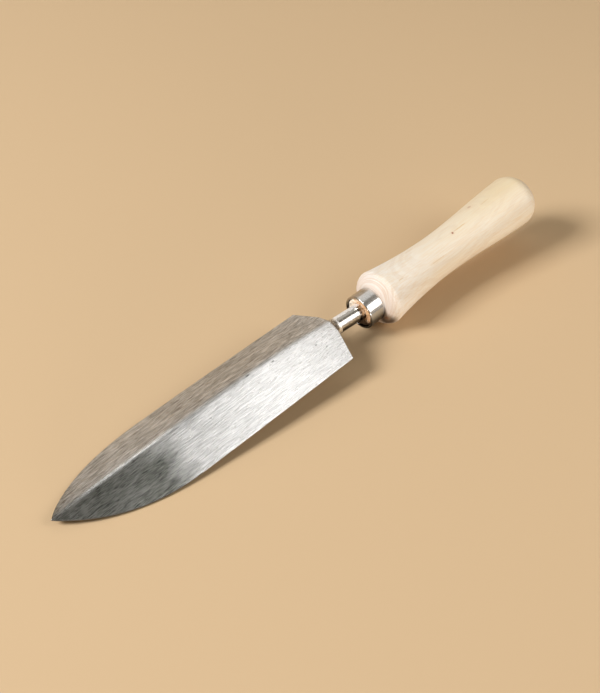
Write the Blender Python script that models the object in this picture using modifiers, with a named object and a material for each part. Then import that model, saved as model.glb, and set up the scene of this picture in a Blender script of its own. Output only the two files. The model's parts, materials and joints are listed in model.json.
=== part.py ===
"""A weeding trowel: a forged blade of V section on a round steel tang, in a turned wooden handle.

The pieces are laid out in the tool's own frame. Its X axis is the handle's axis and runs from the
blade to the butt, Z points to the ridge side, and x = 0 is the front rim of the ferrule. At the end
the whole tool is tilted until it rests on the two rims of the blade and on the handle's shoulder.
"""

import math

import bmesh
import bpy
import numpy as np

# Blade outline, in metres
BLADE_LENGTH = 0.1951
NOSE_LENGTH = 0.0777
HALF_WIDTH = 0.0253
SHOULDER_HALF_WIDTH = 0.0243
SHOULDER_SET_BACK = 0.0049
THROAT_LIP = 0.0028
NOSE_ROUNDING = 2.26
NOSE_FULLNESS = 0.87
LEAST_REACH = 1e-9

# Blade heights, measured from the top of its throat
TIP_RISE = 0.0012
CREST_RISE = 0.0048
CREST_FROM_THROAT = 0.0726
RIM_DROP_AT_NOSE = 0.0083
RIM_DROP_AT_SHOULDER = 0.0090
RIM_SWEEP = 1.31

# Blade section
RIDGE_SOFTNESS = 0.0025
RIDGE_THICKNESS = 0.0024
RIM_THICKNESS = 0.0013
TIP_THICKNESS = 0.0008
TIP_THINNING_LENGTH = 0.030

# Tang, a round bar bent once just inside the handle
TANG_RADIUS = 0.0050
TANG_PITCH = math.radians(5.6)
TANG_BEND_RADIUS = 0.025
TANG_BEND_START = 0.0114
NECK_LENGTH = 0.0247
TANG_UNDER_BLADE = 0.038
TANG_IN_HANDLE = 0.075
TANG_POINT_LENGTH = 0.014
TANG_POINT_RADIUS = 0.0024
TANG_CHAMFER = 0.0008

# Weld that seats the tang in the blade's trough
WELD_BED = 0.0010
WELD_END_SET_BACK = 0.004
WELD_TOE = 0.0030
WELD_TAPER_LENGTH = 0.012
WELD_WRAP = math.radians(105)
WELD_HOLLOW = 0.0008
WELD_FILLET_LENGTH = 0.0062
WELD_FILLET_AT_SIDES = 0.0036
WELD_EDGE = 0.0003

# Ferrule, a plain tube round the tenon
FERRULE_LENGTH = 0.0111
FERRULE_RADIUS = 0.0106
FERRULE_WALL = 0.0012
FERRULE_EDGE = 0.0003

# Handle, turned from one piece of wood
HANDLE_LENGTH = 0.1377
TENON_RECESS = 0.0006
TENON_CHAMFER = 0.0009
NECK_FACE_STEP = 0.0006
SHOULDER_RADIUS = 0.0172
SHOULDER_LENGTH = 0.0070
BEAD_ROUNDING = 1.2
WAIST_RADIUS = 0.01326
WAIST_FROM_FRONT = 0.0575
WAIST_CURVE = 1.95
SWELL_RADIUS = 0.01664
SWELL_FROM_BUTT = 0.0069
BUTT_LENGTH = 0.0129
BORE_END_ROOM = 0.003
MOUTH_ROOM = 0.0002

# Fits
SEAT_GAP = 0.0003

# Facets
TURNED_STEPS = 48
MERGE_DISTANCE = 0.00002
BLADE_ROWS = 44
BLADE_COLUMNS = 8
ROWS_TO_TIP = 1.35
COLUMNS_TO_RIDGE = 1.7
BAR_SIDES = 32
STRAIGHT_RINGS = 7
BEND_RINGS = 5
SECTION_POINTS = 11
SIDE_POINTS = 5
WELD_ROWS = 17
FILLET_ROWS = 9
BUTT_RINGS = 10
SWELL_RINGS = 13
FLARE_RINGS = 11
BEAD_RINGS = 8
SHARP_ANGLE = 35

BLADE_STEEL = ("blade_steel", (0.56, 0.55, 0.52), 0.36, 1.0)
BAR_STEEL = ("bar_steel", (0.62, 0.60, 0.57), 0.22, 1.0)
WELD_STEEL = ("weld_steel", (0.52, 0.50, 0.47), 0.34, 1.0)
TUBE_STEEL = ("tube_steel", (0.66, 0.65, 0.63), 0.26, 1.0)
TURNED_WOOD = ("turned_wood", (0.84, 0.72, 0.55), 0.52, 0.0)

THROAT_X = -NECK_LENGTH
TIP_X = THROAT_X - BLADE_LENGTH
THROAT_HALF_WIDTH = TANG_RADIUS + THROAT_LIP
WELD_INNER_RADIUS = TANG_RADIUS + SEAT_GAP
WELD_OUTER_RADIUS = WELD_INNER_RADIUS + WELD_EDGE


def clear_scene():
    for item in list(bpy.data.objects):
        bpy.data.objects.remove(item, do_unlink=True)


def new_material(name, colour, roughness, metallic):
    """A plain finish for one kind of piece."""
    material = bpy.data.materials.new(name)
    material.use_nodes = True
    shader = material.node_tree.nodes["Principled BSDF"]
    shader.inputs["Base Color"].default_value = (*colour, 1.0)
    shader.inputs["Roughness"].default_value = roughness
    shader.inputs["Metallic"].default_value = metallic
    return material


def add_piece(name, data, finish, collection, parent):
    """Puts a mesh or curve into the tool's collection as a named piece of its own."""
    piece = bpy.data.objects.new(name, data)
    collection.objects.link(piece)
    piece.parent = parent
    data.materials.append(new_material(*finish))
    return piece


def shade(mesh):
    """Smooth faces with crisp edges where the surface turns sharply."""
    mesh.shade_smooth()
    mesh.set_sharp_from_angle(angle=math.radians(SHARP_ANGLE))


def settle(piece):
    """Makes what the modifiers give the piece's own mesh, so that its sharp edges can be marked."""
    graph = bpy.context.evaluated_depsgraph_get()
    mesh = bpy.data.meshes.new_from_object(piece.evaluated_get(graph))
    old = piece.data
    piece.modifiers.clear()
    piece.vertex_groups.clear()
    piece.data = mesh
    bpy.data.meshes.remove(old)
    mesh.name = piece.name
    shade(mesh)


def smooth_step(t):
    """0 to 1 with level ends."""
    t = np.clip(t, 0.0, 1.0)
    return t * t * (3.0 - 2.0 * t)


def half_width(from_tip):
    """Half the blade's width: a full ogive over the nose, then a slight narrowing to the shoulders."""
    t = np.clip(from_tip / NOSE_LENGTH, 0.0, 1.0)
    nose = (1.0 - (1.0 - t) ** NOSE_ROUNDING) ** NOSE_FULLNESS
    back = (from_tip - NOSE_LENGTH) / (BLADE_LENGTH - NOSE_LENGTH)
    narrowing = 2.0 * smooth_step(back / 2.0)
    return HALF_WIDTH * nose - (HALF_WIDTH - SHOULDER_HALF_WIDTH) * narrowing


def tang_height(x):
    """Height of the tang's centre line in front of the bend."""
    corner = TANG_BEND_START - TANG_BEND_RADIUS * math.tan(TANG_PITCH / 2.0)
    return math.tan(TANG_PITCH) * (corner - x)


def throat_height():
    """The top of the throat lies over the tang by the weld's bed and the blade's own thickness."""
    return tang_height(THROAT_X) + TANG_RADIUS + WELD_BED + RIDGE_THICKNESS


def ridge_height(from_tip):
    """Two parabolas that meet level at the crest."""
    crest = BLADE_LENGTH - CREST_FROM_THROAT
    rise = np.where(
        from_tip < crest,
        CREST_RISE + (TIP_RISE - CREST_RISE) * ((crest - from_tip) / crest) ** 2,
        CREST_RISE - CREST_RISE * ((from_tip - crest) / CREST_FROM_THROAT) ** 2,
    )
    return throat_height() + rise


def rim_height(from_tip):
    """Nearly level along the sides, then sweeping up round the nose to the tip."""
    along = from_tip / BLADE_LENGTH
    drop = RIM_DROP_AT_NOSE + (RIM_DROP_AT_SHOULDER - RIM_DROP_AT_NOSE) * along
    width = half_width(np.minimum(from_tip, NOSE_LENGTH)) / HALF_WIDTH
    return throat_height() - drop + (TIP_RISE + drop) * (1.0 - width**RIM_SWEEP)


def ridge_to_rim(from_tip, y):
    """Drop of the upper face at y and its slope there: a hyperbola, so a soft ridge and straight flanks."""
    reach = np.hypot(half_width(from_tip), RIDGE_SOFTNESS) - RIDGE_SOFTNESS
    reach = np.maximum(reach, LEAST_REACH)
    steepness = (ridge_height(from_tip) - rim_height(from_tip)) / reach
    fall = steepness * (np.hypot(y, RIDGE_SOFTNESS) - RIDGE_SOFTNESS)
    return fall, steepness * np.abs(y) / np.hypot(y, RIDGE_SOFTNESS)


def blade_top(from_tip, y):
    """Height of the blade's upper face."""
    return ridge_height(from_tip) - ridge_to_rim(from_tip, y)[0]


def thickness(from_tip, across):
    """Thickness of the steel, which thins from the ridge to the rims, and on the way to the tip."""
    full = RIDGE_THICKNESS + (RIM_THICKNESS - RIDGE_THICKNESS) * np.abs(across)
    return TIP_THICKNESS + (full - TIP_THICKNESS) * smooth_step(from_tip / TIP_THINNING_LENGTH)


def shoulder_from_tip(across):
    """Where a line of the blade ends: at the throat in the middle, and set back along each shoulder."""
    y = np.abs(across) * SHOULDER_HALF_WIDTH
    slope = SHOULDER_SET_BACK / (SHOULDER_HALF_WIDTH - THROAT_HALF_WIDTH)
    return BLADE_LENGTH - slope * np.maximum(y - THROAT_HALF_WIDTH, 0.0)


def blade_grid():
    """Rows of points on the blade's upper face from the tip to the shoulders, and their thickness."""
    t = np.linspace(-1.0, 1.0, 2 * BLADE_COLUMNS + 1)
    across = np.sign(t) * np.abs(t) ** COLUMNS_TO_RIDGE
    along = np.linspace(0.0, 1.0, BLADE_ROWS + 1)[1:, None] ** ROWS_TO_TIP
    from_tip = along * shoulder_from_tip(across)
    y = across * half_width(from_tip)
    points = np.stack([TIP_X + from_tip, y, blade_top(from_tip, y)], axis=-1)
    return points, thickness(from_tip, across)


def make_blade(collection, parent):
    """The blade is lofted from sections that change from a point to a wide V, then given its thickness."""
    points, depths = blade_grid()
    rows, columns = points.shape[:2]
    mesh = bpy.data.meshes.new("blade")
    shape = bmesh.new()
    tip = shape.verts.new((TIP_X, 0.0, throat_height() + TIP_RISE))
    grid = [[shape.verts.new(point) for point in row] for row in points]
    for j in range(columns - 1):
        shape.faces.new((tip, grid[0][j], grid[0][j + 1]))
    for i in range(rows - 1):
        for j in range(columns - 1):
            shape.faces.new((grid[i][j], grid[i + 1][j], grid[i + 1][j + 1], grid[i][j + 1]))
    bmesh.ops.recalc_face_normals(shape, faces=shape.faces)
    if sum(face.normal.z for face in shape.faces) < 0.0:
        bmesh.ops.reverse_faces(shape, faces=shape.faces)
    shape.to_mesh(mesh)
    shape.free()
    blade = add_piece("blade", mesh, BLADE_STEEL, collection, parent)
    shares = blade.vertex_groups.new(name="thickness")
    for index, depth in enumerate([TIP_THICKNESS, *depths.flat]):
        shares.add([index], float(depth / RIDGE_THICKNESS), "REPLACE")
    wall = blade.modifiers.new("thickness", "SOLIDIFY")
    wall.thickness = RIDGE_THICKNESS
    wall.offset = -1.0
    wall.vertex_group = "thickness"
    settle(blade)
    return blade


def tang_line():
    """Centre line of the tang from its end under the blade to its point in the handle, with radii."""
    front = THROAT_X - TANG_UNDER_BLADE
    share_at_end = 1.0 - TANG_CHAMFER / TANG_RADIUS
    points = [(front, tang_height(front), share_at_end)]
    bend_end = TANG_BEND_START - TANG_BEND_RADIUS * math.sin(TANG_PITCH)
    for x in np.linspace(front + TANG_CHAMFER, bend_end, STRAIGHT_RINGS):
        points.append((x, tang_height(x), 1.0))
    for angle in np.linspace(TANG_PITCH, 0.0, BEND_RINGS)[1:]:
        x = TANG_BEND_START - TANG_BEND_RADIUS * math.sin(angle)
        points.append((x, TANG_BEND_RADIUS * (1.0 - math.cos(angle)), 1.0))
    points.append((TANG_IN_HANDLE - TANG_POINT_LENGTH, 0.0, 1.0))
    points.append((TANG_IN_HANDLE, 0.0, TANG_POINT_RADIUS / TANG_RADIUS))
    return points


def make_tang(collection, parent):
    """A round bar along the centre line, chamfered at the front and tapered at the rear."""
    curve = bpy.data.curves.new("tang", "CURVE")
    curve.dimensions = "3D"
    curve.bevel_depth = TANG_RADIUS
    curve.bevel_resolution = (BAR_SIDES - 4) // 2
    curve.use_fill_caps = True
    points = tang_line()
    spline = curve.splines.new("POLY")
    spline.points.add(len(points) - 1)
    for point, (x, z, share) in zip(spline.points, points):
        point.co = (x, 0.0, z, 1.0)
        point.radius = share
    spline.use_smooth = True
    return add_piece("tang", curve, BAR_STEEL, collection, parent)


def on_bar(x, angle, radius):
    """Points round the tang at x, with the angle from the top and the radius from its centre line."""
    side, up = radius * np.sin(angle), radius * np.cos(angle)
    return np.stack([x + 0.0 * angle, side, tang_height(x) + up], axis=-1)


def bend(start, middle, end):
    """A quadratic curve from start, drawn towards middle, to just before end."""
    t = np.linspace(0.0, 1.0, SIDE_POINTS + 2)[1:-1, None]
    return (1.0 - t) ** 2 * start + 2.0 * t * (1.0 - t) * middle + t**2 * end


def with_sides(roof, middle, foot):
    """Outline over a roof line, with a curved side from each of its ends down to the foot on the bar."""
    mirror = np.array([1.0, -1.0, 1.0])
    side = np.concatenate([bend(roof[-1], middle, foot), [foot]])
    return np.concatenate([(side * mirror)[::-1], roof, side])


def weld_half_width(x):
    """The weld is slim where it starts under the blade and at the throat, and wider between."""
    from_end = x - (THROAT_X - TANG_UNDER_BLADE + WELD_END_SET_BACK)
    from_throat = THROAT_X - x
    full = smooth_step(np.minimum(from_end, from_throat) / WELD_TAPER_LENGTH)
    return WELD_OUTER_RADIUS + WELD_TOE * full


def section_under_blade(x):
    """Outline of the weld in the trough: level with the blade's underside, with hollow sides on the bar."""
    y = np.linspace(-1.0, 1.0, SECTION_POINTS) * weld_half_width(x)
    from_tip = x - TIP_X
    fall, slope = ridge_to_rim(from_tip, y)
    depth = (thickness(from_tip, y / half_width(from_tip)) + SEAT_GAP) * np.hypot(1.0, slope)
    roof = np.stack([x + 0.0 * y, y, ridge_height(from_tip) - fall - depth], axis=-1)
    middle = np.array([x, WELD_OUTER_RADIUS + WELD_HOLLOW, roof[-1, 2] - WELD_HOLLOW])
    return with_sides(roof, middle, on_bar(x, WELD_WRAP, WELD_OUTER_RADIUS))


def section_behind_throat(x):
    """Outline of the fillet, which sweeps from the throat to the tang, sooner at the sides than on top."""
    y = np.linspace(-1.0, 1.0, SECTION_POINTS) * THROAT_HALF_WIDTH
    roof = np.stack([x + 0.0 * y, y, blade_top(BLADE_LENGTH, y)], axis=-1)
    middle = np.array([x, WELD_OUTER_RADIUS + WELD_HOLLOW, tang_height(x) + TANG_RADIUS])
    throat = with_sides(roof, middle, on_bar(x, WELD_WRAP, WELD_OUTER_RADIUS))
    bar = on_bar(x, np.linspace(-WELD_WRAP, WELD_WRAP, len(throat)), WELD_OUTER_RADIUS)
    side = np.abs(np.linspace(-1.0, 1.0, len(throat)))[:, None]
    reach = WELD_FILLET_LENGTH + (WELD_FILLET_AT_SIDES - WELD_FILLET_LENGTH) * side**2
    t = np.clip((x - THROAT_X - SEAT_GAP) / reach, 0.0, 1.0)
    hollow = 1.0 - np.sqrt(1.0 - (1.0 - t) ** 2)
    return bar + (throat - bar) * hollow


def make_weld(collection, parent):
    """The weld is lofted along the tang between the bar's round and the blade, then out over the bar."""
    behind = THROAT_X + SEAT_GAP
    outlines = []
    front = THROAT_X - TANG_UNDER_BLADE + WELD_END_SET_BACK
    for x in np.linspace(front, behind - SEAT_GAP / 3.0, WELD_ROWS):
        outlines.append(section_under_blade(x))
    for angle in np.linspace(0.0, math.pi / 2.0, FILLET_ROWS):
        outlines.append(section_behind_throat(behind + WELD_FILLET_LENGTH * (1.0 - math.cos(angle))))
    mesh = bpy.data.meshes.new("weld")
    shape = bmesh.new()
    loops = []
    for outer in outlines:
        angles = np.linspace(WELD_WRAP, -WELD_WRAP, len(outer))
        inner = on_bar(outer[0, 0], angles, WELD_INNER_RADIUS)
        loops.append([shape.verts.new(point) for point in np.concatenate([outer, inner])])
    for near, far in zip(loops[:-1], loops[1:]):
        for j in range(len(near)):
            k = (j + 1) % len(near)
            shape.faces.new((near[j], far[j], far[k], near[k]))
    for loop in (loops[0], loops[-1]):
        for j in range(len(loop) // 2 - 1):
            shape.faces.new((loop[j], loop[j + 1], loop[-2 - j], loop[-1 - j]))
    bmesh.ops.recalc_face_normals(shape, faces=shape.faces)
    shape.to_mesh(mesh)
    shape.free()
    shade(mesh)
    return add_piece("weld", mesh, WELD_STEEL, collection, parent)


def make_turned(name, profile, closed, finish, collection, parent):
    """Turns a profile of (radius, distance from the ferrule's front rim) about the handle's axis."""
    mesh = bpy.data.meshes.new(name)
    count = len(profile)
    edges = [(i, i + 1) for i in range(count - 1)]
    if closed:
        edges.append((count - 1, 0))
    mesh.from_pydata([(radius, 0.0, x) for radius, x in profile], edges, [])
    piece = add_piece(name, mesh, finish, collection, parent)
    piece.rotation_euler = (0.0, math.pi / 2.0, 0.0)
    turning = piece.modifiers.new("turning", "SCREW")
    turning.steps = TURNED_STEPS
    turning.render_steps = TURNED_STEPS
    turning.use_merge_vertices = True
    turning.merge_threshold = MERGE_DISTANCE
    settle(piece)
    return piece


def make_ferrule(collection, parent):
    """A plain tube with its edges broken, from its rear end round the outside to the front rim and back."""
    outer, inner = FERRULE_RADIUS, FERRULE_RADIUS - FERRULE_WALL
    edge = FERRULE_EDGE
    profile = [
        (outer - edge, FERRULE_LENGTH),
        (outer, FERRULE_LENGTH - edge),
        (outer, edge),
        (outer - edge, 0.0),
        (inner + edge, 0.0),
        (inner, edge),
        (inner, FERRULE_LENGTH - edge),
        (inner + edge, FERRULE_LENGTH),
    ]
    return make_turned("ferrule", profile, True, TUBE_STEEL, collection, parent)


def grip_profile():
    """Outside of the handle from the butt to its front face, as (radius, distance from that face)."""
    butt_start = HANDLE_LENGTH - BUTT_LENGTH
    swell_end = HANDLE_LENGTH - SWELL_FROM_BUTT
    neck_face = FERRULE_RADIUS + NECK_FACE_STEP
    x = np.linspace(butt_start, WAIST_FROM_FRONT, SWELL_RINGS)
    rise = smooth_step((x - WAIST_FROM_FRONT) / (swell_end - WAIST_FROM_FRONT))
    swell = np.stack([WAIST_RADIUS + (SWELL_RADIUS - WAIST_RADIUS) * rise, x], axis=-1)
    angle = np.linspace(math.pi / 2.0, 0.0, BUTT_RINGS)[:-1]
    butt = np.stack([swell[0, 0] * np.cos(angle), butt_start + BUTT_LENGTH * np.sin(angle)], axis=-1)
    butt[0, 0] = 0.0
    x = np.linspace(WAIST_FROM_FRONT, SHOULDER_LENGTH, FLARE_RINGS)[1:]
    fall = ((WAIST_FROM_FRONT - x) / (WAIST_FROM_FRONT - SHOULDER_LENGTH)) ** WAIST_CURVE
    flare = np.stack([WAIST_RADIUS + (SHOULDER_RADIUS - WAIST_RADIUS) * fall, x], axis=-1)
    angle = np.linspace(0.0, math.pi / 2.0, BEAD_RINGS)[1:]
    in_to_neck = np.abs(np.cos(angle)) ** BEAD_ROUNDING
    forward = np.sin(angle) ** BEAD_ROUNDING
    radius = neck_face + (SHOULDER_RADIUS - neck_face) * in_to_neck
    bead = np.stack([radius, SHOULDER_LENGTH - (SHOULDER_LENGTH - SEAT_GAP) * forward], axis=-1)
    return np.concatenate([butt, swell, flare, bead])


def make_handle(collection, parent):
    """Grip, tenon and the bore for the tang, turned in one, with the bore's mouth opened to the bend."""
    tenon = FERRULE_RADIUS - FERRULE_WALL - SEAT_GAP
    bore = TANG_RADIUS + SEAT_GAP
    front = TENON_RECESS
    mouth = bore + tang_height(front) + MOUTH_ROOM
    bore_end = TANG_IN_HANDLE + BORE_END_ROOM
    outside = grip_profile()
    outside[:, 1] += FERRULE_LENGTH
    inside = [
        (tenon, FERRULE_LENGTH + SEAT_GAP),
        (tenon, front + TENON_CHAMFER),
        (tenon - TENON_CHAMFER, front),
        (mouth, front),
        (bore, TANG_BEND_START),
        (bore, bore_end),
        (0.0, bore_end),
    ]
    profile = [tuple(point) for point in outside] + inside
    return make_turned("handle", profile, False, TURNED_WOOD, collection, parent)


def side_view(piece):
    """The piece's points in the tool's frame as (x, z)."""
    points = [piece.matrix_basis @ vertex.co for vertex in piece.data.vertices]
    return np.array([(point.x, point.z) for point in points])


def resting_place(blade, handle):
    """Tilt, forward shift and lift that lay the tool on its rims and its shoulder over the origin.

    Seen from the side, the table is the line that touches the undersides of the blade and of the
    handle with every other point above it.
    """
    front, rear = side_view(blade), side_view(handle)
    rise = front[None, :, 1] - rear[:, None, 1]
    run = rear[:, None, 0] - front[None, :, 0]
    slope = (rise / run).min(axis=1)
    tilt = math.atan(slope.max())
    contact = rear[slope.argmax()]
    lift = -(contact[0] * math.sin(tilt) + contact[1] * math.cos(tilt))
    points = np.concatenate([front, rear])
    along = points[:, 0] * math.cos(tilt) - points[:, 1] * math.sin(tilt)
    return tilt, -(along.max() + along.min()) / 2.0, lift


def main():
    clear_scene()
    collection = bpy.data.collections.new("weeding_trowel")
    bpy.context.scene.collection.children.link(collection)
    pose = bpy.data.objects.new("resting_pose", None)
    collection.objects.link(pose)
    blade = make_blade(collection, pose)
    make_tang(collection, pose)
    make_weld(collection, pose)
    make_ferrule(collection, pose)
    handle = make_handle(collection, pose)
    tilt, shift, lift = resting_place(blade, handle)
    pose.rotation_euler = (0.0, -tilt, 0.0)
    pose.location = (shift, 0.0, lift)


main()
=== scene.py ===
# %% [markdown]
# # A weeding trowel
#
# This notebook dresses a weeding trowel: a ridged steel blade on a round steel neck, with a
# ferrule and a turned handle of pale wood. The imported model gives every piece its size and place.
# Here each piece gets a finer surface and a finish, and then the tool is lit and looked at.

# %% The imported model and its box
import json
import math

import bmesh
import bpy
import numpy as np
from mathutils import Matrix, Vector


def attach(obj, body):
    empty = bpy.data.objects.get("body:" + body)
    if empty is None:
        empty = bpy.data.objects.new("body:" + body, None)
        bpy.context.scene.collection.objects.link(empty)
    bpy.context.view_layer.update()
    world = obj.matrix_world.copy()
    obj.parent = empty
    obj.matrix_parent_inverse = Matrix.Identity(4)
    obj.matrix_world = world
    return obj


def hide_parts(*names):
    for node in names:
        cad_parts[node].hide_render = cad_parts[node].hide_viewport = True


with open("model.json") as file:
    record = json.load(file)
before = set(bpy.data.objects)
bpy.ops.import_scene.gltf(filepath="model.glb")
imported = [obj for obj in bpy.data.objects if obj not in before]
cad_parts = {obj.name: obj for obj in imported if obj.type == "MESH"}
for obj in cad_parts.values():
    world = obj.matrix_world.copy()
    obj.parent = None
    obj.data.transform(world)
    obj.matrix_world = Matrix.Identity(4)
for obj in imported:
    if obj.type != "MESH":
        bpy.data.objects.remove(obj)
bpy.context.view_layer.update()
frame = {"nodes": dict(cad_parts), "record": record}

print("packed pieces:", sorted(frame["nodes"]))

# %% [markdown]
# ## The tool's own frame
#
# The tool lies on the rims of its blade and on the shoulder of its handle, so its axis is tilted
# against the table. Shapes are easier to write in the tool's own frame: X along the handle's axis
# from blade to butt, Y across, Z to the ridge side, and zero at the ferrule's front rim. The packed
# record states that rim as a mount, with a point and a direction, which is all the frame needs.

# %% Axes of the tool
RIM_POINT_RADIUS = 0.010

rim_mount = next(m for m in frame["record"]["mounts"] if m["name"] == "ferrule_rim")
along_axis = -np.array(rim_mount["axis"])
along_axis /= np.linalg.norm(along_axis)
across_axis = np.array([0.0, 1.0, 0.0])
up_axis = np.cross(along_axis, across_axis)
tool_origin = np.array(rim_mount["pos_m"]) - RIM_POINT_RADIUS * across_axis
TILT = math.atan2(along_axis[2], along_axis[0])
print(f"the handle's axis rises {math.degrees(TILT):.1f} degrees towards the butt")


def to_world(points):
    """Points in the tool's frame, as the sum of the origin and x, y and z steps along its axes."""
    return tool_origin + points @ np.stack([along_axis, across_axis, up_axis])


# %% [markdown]
# ## From arrays to pieces
#
# Every new piece is a surface worked out with numpy: a grid of points, computed as whole arrays.
# These helpers number the points and join them to quads. A row can stay open or close on itself,
# and an end can close in a fan on one point. A UV map called across holds each point's place
# across and along the tool, and tells a brushed surface which way its scratches spread the light.

# %% Grids to meshes
SHARP_ANGLE = math.radians(38)
UV_SPAN = 0.4


def columns(*arrays):
    """Arrays side by side, as the last axis of one array."""
    return np.stack(arrays, axis=-1)


def numbered(grid, first=0):
    """Point numbers for a grid of points, row by row."""
    rows, count = grid.shape[:2]
    return first + np.arange(rows * count).reshape(rows, count)


def quads(numbers, closed=False):
    """Quads between neighbouring rows of point numbers, where each row can close on itself."""
    if closed:
        numbers = np.concatenate([numbers, numbers[:, :1]], axis=1)
    return columns(numbers[:-1, :-1], numbers[:-1, 1:], numbers[1:, 1:], numbers[1:, :-1]).reshape(-1, 4)


def fan(point, ring):
    """Triangles from one point to each step of a closed ring of point numbers."""
    return columns(np.full(len(ring), point), ring, np.roll(ring, -1))


def capped(rings, ends):
    """Rings of points closed by one more point at each end: all the points, the quads and two fans."""
    numbers = numbered(rings)
    count = numbers.size
    faces = [quads(numbers, closed=True), fan(count, numbers[0]), fan(count + 1, numbers[-1])]
    return np.concatenate([rings.reshape(-1, 3), ends]), faces


def new_object(name, data):
    """An object made of its data and linked to the scene."""
    item = bpy.data.objects.new(name, data)
    bpy.context.scene.collection.objects.link(item)
    return item


def add_piece(name, points, faces, finishes, node):
    """Makes a closed mesh in the world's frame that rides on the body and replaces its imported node."""
    mesh = bpy.data.meshes.new(name)
    mesh.from_pydata(to_world(points).tolist(), [], [face.tolist() for block in faces for face in block])
    shape = bmesh.new()
    shape.from_mesh(mesh)
    bmesh.ops.recalc_face_normals(shape, faces=shape.faces)
    loose = sum(not edge.is_manifold for edge in shape.edges)
    shape.to_mesh(mesh)
    shape.free()
    mesh.shade_smooth()
    mesh.set_sharp_from_angle(angle=SHARP_ANGLE)
    for finish in finishes:
        mesh.materials.append(finish)
    corner = np.empty(len(mesh.loops), int)
    mesh.loops.foreach_get("vertex_index", corner)
    across = mesh.uv_layers.new(name="across")
    across.data.foreach_set("uv", (points[corner][:, 1::-1] / UV_SPAN).ravel())
    piece = new_object(name, mesh)
    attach(piece, "root")
    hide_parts(node)
    print(f"{name}: {len(mesh.polygons)} faces, {loose} open edges")
    return piece


# %% [markdown]
# ## Short words for shader nodes
#
# Finishes are built from a few kinds of node over and over. A value stands for an output of a
# node, and a sum or product of values adds a math node, so that a finish reads as plain steps of
# arithmetic. A mask is a value from 0 to 1 that changes over the surface, and a finish is a base
# colour with coats of other colours painted over it through masks.

# %% Node helpers
MM_PER_METRE = 1000.0


class Value:
    """An output of a shader node. Sums, differences, products and quotients of it are math nodes."""

    def __init__(self, output):
        self.output, self.tree = output, output.id_data

    def __getitem__(self, name):
        """Another output of the same node."""
        return Value(self.output.node.outputs[name])

    def __add__(self, other):
        return calc("ADD", self, other)

    def __sub__(self, other):
        return calc("SUBTRACT", self, other)

    def __mul__(self, other):
        return calc("MULTIPLY", self, other)

    def __truediv__(self, other):
        return calc("DIVIDE", self, other)


def feed(socket, value):
    """Links a value to an input, or sets the input to a number, vector or colour."""
    if isinstance(value, Value):
        value.tree.links.new(value.output, socket)
    else:
        socket.default_value = value


def add_node(tree, kind, **settings):
    """A new shader node, with settings by name."""
    node = tree.nodes.new("ShaderNode" + kind)
    for label, setting in settings.items():
        setattr(node, label, setting)
    return node


def source(tree, kind, output=0, **settings):
    """An output of a new node that takes no inputs."""
    return Value(add_node(tree, kind, **settings).outputs[output])


def result_of(kind, inputs, **settings):
    """Feeds a new node, in the tree that its first value comes from, and gives its first output."""
    tree = next(value.tree for value in inputs.values() if isinstance(value, Value))
    node = add_node(tree, kind, **settings)
    for label, value in inputs.items():
        feed(node.inputs[label], value)
    return Value(next(output for output in node.outputs if output.enabled))


def calc(operation, a, b=0.0):
    return result_of("Math", {0: a, 1: b}, operation=operation)


def larger(a, b):
    return calc("MAXIMUM", a, b)


def distance(a, b):
    """Square root of the sum of two squares."""
    return calc("SQRT", a * a + b * b)


def stretch(value, low, high, to_low=0.0, to_high=1.0, soft=False):
    """Spreads a value from one range to another and holds it inside. A falling mask has low over high."""
    inputs = {"Value": value, "From Min": low, "From Max": high, "To Min": to_low, "To Max": to_high}
    return result_of("MapRange", inputs, interpolation_type="SMOOTHSTEP" if soft else "LINEAR")


def between(mask, at_none, at_full):
    """A number that goes from one value to another as a mask goes from 0 to 1."""
    return stretch(mask, 0.0, 1.0, at_none, at_full)


def split(vector):
    """A vector's X, Y and Z."""
    parts = result_of("SeparateXYZ", {0: vector})
    return parts["X"], parts["Y"], parts["Z"]


def join(x, y, z):
    return result_of("CombineXYZ", {0: x, 1: y, 2: z})


def scaled(vector, scale, shift=(0.0, 0.0, 0.0), turn=(0.0, 0.0, 0.0)):
    return result_of("Mapping", {"Vector": vector, "Scale": scale, "Location": shift, "Rotation": turn})


def drawn_out(vector, length, width):
    """A vector over a length along X and over a width the other ways."""
    aside = calc("DIVIDE", 1.0, width)
    return scaled(vector, join(calc("DIVIDE", 1.0, length), aside, aside))


def noise(vector, scale=1.0, detail=2.0, rough=0.5):
    return result_of("TexNoise", {"Vector": vector, "Scale": scale, "Detail": detail, "Roughness": rough})


def patches(vector, low, high, soft=False, **texture):
    """A mask that rises from 0 to 1 as a noise rises from one level to another."""
    return stretch(noise(vector, **texture), low, high, soft=soft)


def blend(share, first, second):
    """A colour between two, by the share of the second: each is a value or red, green and blue."""
    first, second = [(*c, 1.0) if isinstance(c, tuple) else c for c in (first, second)]
    return result_of("Mix", {"Factor": share, "A": first, "B": second}, data_type="RGBA")


def painted(tone, *coats):
    """Coats over a tone, the last on top: each is a mask, how much it covers, and a colour."""
    for mask, cover, colour in coats:
        tone = blend(mask * cover, tone, colour)
    return tone


# %% Groups and finishes
def new_group(name, inputs, outputs):
    """A shader node group with named inputs of given kinds and named masks, and where to build it."""
    tree = bpy.data.node_groups.new(name, "ShaderNodeTree")
    for label, kind in inputs.items():
        tree.interface.new_socket(name=label, in_out="INPUT", socket_type="NodeSocket" + kind)
    for label in outputs:
        tree.interface.new_socket(name=label, in_out="OUTPUT", socket_type="NodeSocketFloat")
    given = Value(tree.nodes.new("NodeGroupInput").outputs[0])
    print(name, "gives", ", ".join(outputs))
    return tree, given, tree.nodes.new("NodeGroupOutput").inputs


def use_group(group, **values):
    return result_of("Group", {label.replace("_", " "): v for label, v in values.items()}, node_tree=group)


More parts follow.
